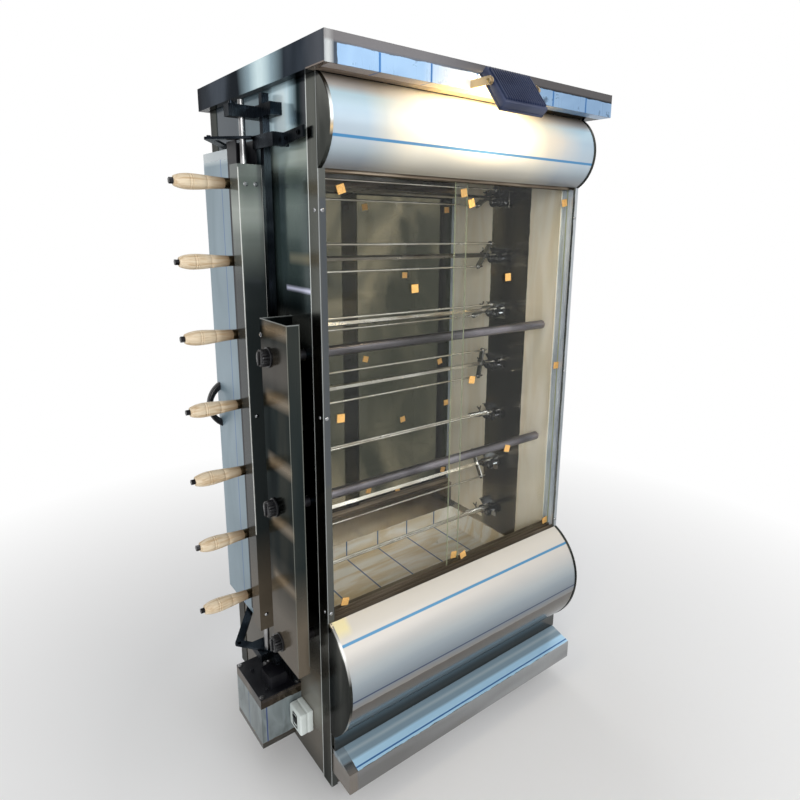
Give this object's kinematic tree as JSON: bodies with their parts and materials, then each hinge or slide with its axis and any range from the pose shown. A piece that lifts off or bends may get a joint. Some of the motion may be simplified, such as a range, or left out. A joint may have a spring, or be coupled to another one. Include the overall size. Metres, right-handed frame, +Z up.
{
  "type": "gas chicken rotisserie",
  "caption": "Tall stainless gas rotisserie cabinet with sliding glass, wooden-handled turning spits, tube burners, side drive, grease drawer and lamp.",
  "frame": {"origin": "bottom centre of the whole object's box, on the floor", "axes": "+X to the right along the glass front, +Y to the back, +Z up; the front looks along -Y and the spit handles point along -X"},
  "size_m": [1.097, 0.8404, 1.869],
  "materials": {
    "black_paint": "black paint, slightly glossy",
    "black_plastic": "black, satin",
    "brass_fitting": "dull brass",
    "bright_steel": "brushed stainless",
    "burner_steel": "heat darkened tube",
    "clear_glass": "clear tempered glass",
    "dark_track": "dark bronze profile",
    "film_steel": "stainless under pale protective film",
    "frame_steel": "plain steel",
    "grey_plastic": "light grey",
    "lamp_arm": "grey stirrup",
    "lamp_paint": "dark blue powder coat",
    "mirror_steel": "polished stainless",
    "rocker_black": "black",
    "rubber": "matt",
    "spit_steel": "bright bar",
    "wood": "pale turned wood"
  },
  "bodies": {
    "cabinet": {"frame_rails": "frame_steel", "feet": "rubber", "corner_posts": "bright_steel", "side_panels": "mirror_steel", "inner_liners": "film_steel", "rear_panels": "film_steel", "canopy": "bright_steel", "upper_fascia": "film_steel", "lower_fascia": "film_steel", "fascia_end_plates": "bright_steel", "door_tracks": "dark_track", "floor_tray": "film_steel", "burner_tubes": "burner_steel", "gas_manifold": "brass_fitting", "control_cover": "mirror_steel", "spit_supports": "bright_steel", "support_rollers": "black_plastic", "drive_carrier": "black_paint", "drive_cover": "mirror_steel", "drive_brackets": "black_paint", "motor_box": "film_steel", "gearmotor": "black_paint", "switch_box": "grey_plastic", "door_hinge_pins": "bright_steel", "lamp_bracket": "lamp_arm", "frame_screws": "bright_steel"},
    "front_glass_left": {"front_glass_left": "clear_glass"},
    "front_glass_right": {"front_glass_right": "clear_glass"},
    "rear_glass_left": {"rear_glass_left": "clear_glass"},
    "rear_glass_right": {"rear_glass_right": "clear_glass"},
    "grease_drawer": {"grease_drawer": "film_steel"},
    "gas_knob_1": {"gas_knob_1": "black_plastic"},
    "gas_knob_2": {"gas_knob_2": "black_plastic"},
    "gas_knob_3": {"gas_knob_3": "black_plastic"},
    "drive_shaft": {"drive_shaft": "spit_steel"},
    "spit_1": {"spit_1": "spit_steel", "spit_handle_1": "wood"},
    "spit_2": {"spit_2": "spit_steel", "spit_handle_2": "wood"},
    "spit_3": {"spit_3": "spit_steel", "spit_handle_3": "wood"},
    "spit_4": {"spit_4": "spit_steel", "spit_handle_4": "wood"},
    "spit_5": {"spit_5": "spit_steel", "spit_handle_5": "wood"},
    "spit_6": {"spit_6": "spit_steel", "spit_handle_6": "wood"},
    "spit_7": {"spit_7": "spit_steel", "spit_handle_7": "wood"},
    "spit_clamp_1": {"spit_clamp_1": "spit_steel"},
    "spit_clamp_2": {"spit_clamp_2": "spit_steel"},
    "spit_clamp_3": {"spit_clamp_3": "spit_steel"},
    "spit_clamp_4": {"spit_clamp_4": "spit_steel"},
    "spit_clamp_5": {"spit_clamp_5": "spit_steel"},
    "spit_clamp_6": {"spit_clamp_6": "spit_steel"},
    "spit_clamp_7": {"spit_clamp_7": "spit_steel"},
    "rocker_switch": {"rocker_switch": "rocker_black"},
    "service_door": {"service_door": "film_steel", "service_door_handle": "black_plastic"},
    "lamp": {"lamp_housing": "lamp_paint"}
  },
  "joints": [
    {"name": "front_glass_left_slide", "type": "slide", "parent": "cabinet", "child": "front_glass_left", "axis": [1, 0, 0], "range_m": [0, 0.392]},
    {"name": "front_glass_right_slide", "type": "slide", "parent": "cabinet", "child": "front_glass_right", "axis": [1, 0, 0], "range_m": [-0.407, 0]},
    {"name": "rear_glass_left_slide", "type": "slide", "parent": "cabinet", "child": "rear_glass_left", "axis": [1, 0, 0], "range_m": [0, 0.417]},
    {"name": "rear_glass_right_slide", "type": "slide", "parent": "cabinet", "child": "rear_glass_right", "axis": [1, 0, 0], "range_m": [-0.383, 0]},
    {"name": "grease_drawer_slide", "type": "slide", "parent": "cabinet", "child": "grease_drawer", "axis": [0, -1, 0], "range_m": [0, 0.45]},
    {"name": "gas_knob_1_turn", "type": "hinge", "parent": "cabinet", "child": "gas_knob_1", "pos_m": [-0.4175, -0.1218, 1.2035], "axis": [-1, 0, 0], "range_deg": [0, 210]},
    {"name": "gas_knob_2_turn", "type": "hinge", "parent": "cabinet", "child": "gas_knob_2", "pos_m": [-0.4175, -0.1218, 0.829], "axis": [-1, 0, 0], "range_deg": [0, 210]},
    {"name": "gas_knob_3_turn", "type": "hinge", "parent": "cabinet", "child": "gas_knob_3", "pos_m": [-0.4175, -0.1218, 0.454], "axis": [-1, 0, 0], "range_deg": [0, 210]},
    {"name": "drive_shaft_turn", "type": "hinge", "parent": "cabinet", "child": "drive_shaft", "pos_m": [-0.3855, 0.0352, 0.2625], "axis": [0, 0, 1], "continuous": true},
    {"name": "spit_1_turn", "type": "hinge", "parent": "cabinet", "child": "spit_1", "pos_m": [-0.3335, 0.0772, 1.598], "axis": [1, 0, 0], "continuous": true},
    {"name": "spit_2_turn", "type": "hinge", "parent": "cabinet", "child": "spit_2", "pos_m": [-0.3335, 0.0772, 1.413], "axis": [1, 0, 0], "continuous": true},
    {"name": "spit_3_turn", "type": "hinge", "parent": "cabinet", "child": "spit_3", "pos_m": [-0.3335, 0.0772, 1.228], "axis": [1, 0, 0], "continuous": true},
    {"name": "spit_4_turn", "type": "hinge", "parent": "cabinet", "child": "spit_4", "pos_m": [-0.3335, 0.0772, 1.043], "axis": [1, 0, 0], "continuous": true},
    {"name": "spit_5_turn", "type": "hinge", "parent": "cabinet", "child": "spit_5", "pos_m": [-0.3335, 0.0772, 0.858], "axis": [1, 0, 0], "continuous": true},
    {"name": "spit_6_turn", "type": "hinge", "parent": "cabinet", "child": "spit_6", "pos_m": [-0.3335, 0.0772, 0.673], "axis": [1, 0, 0], "continuous": true},
    {"name": "spit_7_turn", "type": "hinge", "parent": "cabinet", "child": "spit_7", "pos_m": [-0.3335, 0.0772, 0.488], "axis": [1, 0, 0], "continuous": true},
    {"name": "spit_clamp_1_slide", "type": "slide", "parent": "spit_1", "child": "spit_clamp_1", "axis": [1, 0, 0], "range_m": [-0.6, 0]},
    {"name": "spit_clamp_2_slide", "type": "slide", "parent": "spit_2", "child": "spit_clamp_2", "axis": [1, 0, 0], "range_m": [-0.6, 0]},
    {"name": "spit_clamp_3_slide", "type": "slide", "parent": "spit_3", "child": "spit_clamp_3", "axis": [1, 0, 0], "range_m": [-0.6, 0]},
    {"name": "spit_clamp_4_slide", "type": "slide", "parent": "spit_4", "child": "spit_clamp_4", "axis": [1, 0, 0], "range_m": [-0.6, 0]},
    {"name": "spit_clamp_5_slide", "type": "slide", "parent": "spit_5", "child": "spit_clamp_5", "axis": [1, 0, 0], "range_m": [-0.6, 0]},
    {"name": "spit_clamp_6_slide", "type": "slide", "parent": "spit_6", "child": "spit_clamp_6", "axis": [1, 0, 0], "range_m": [-0.6, 0]},
    {"name": "spit_clamp_7_slide", "type": "slide", "parent": "spit_7", "child": "spit_clamp_7", "axis": [1, 0, 0], "range_m": [-0.6, 0]},
    {"name": "rocker_switch_tilt", "type": "hinge", "parent": "cabinet", "child": "rocker_switch", "pos_m": [-0.367, -0.0983, 0.175], "axis": [0, 1, 0], "range_deg": [0, 16]},
    {"name": "service_door_swing", "type": "hinge", "parent": "cabinet", "child": "service_door", "pos_m": [-0.3605, 0.1302, 0.52], "axis": [0, 0, 1], "range_deg": [0, 85]},
    {"name": "lamp_tilt", "type": "hinge", "parent": "cabinet", "child": "lamp", "pos_m": [0.0945, -0.3753, 1.82], "axis": [1, 0, 0], "range_deg": [-35, 35]}
  ],
  "couplings": [
    {"joint": "spit_1_turn", "follows": "drive_shaft_turn", "ratio": 0.035714},
    {"joint": "spit_2_turn", "follows": "drive_shaft_turn", "ratio": 0.035714},
    {"joint": "spit_3_turn", "follows": "drive_shaft_turn", "ratio": 0.035714},
    {"joint": "spit_4_turn", "follows": "drive_shaft_turn", "ratio": 0.035714},
    {"joint": "spit_5_turn", "follows": "drive_shaft_turn", "ratio": 0.035714},
    {"joint": "spit_6_turn", "follows": "drive_shaft_turn", "ratio": 0.035714},
    {"joint": "spit_7_turn", "follows": "drive_shaft_turn", "ratio": 0.035714}
  ]
}
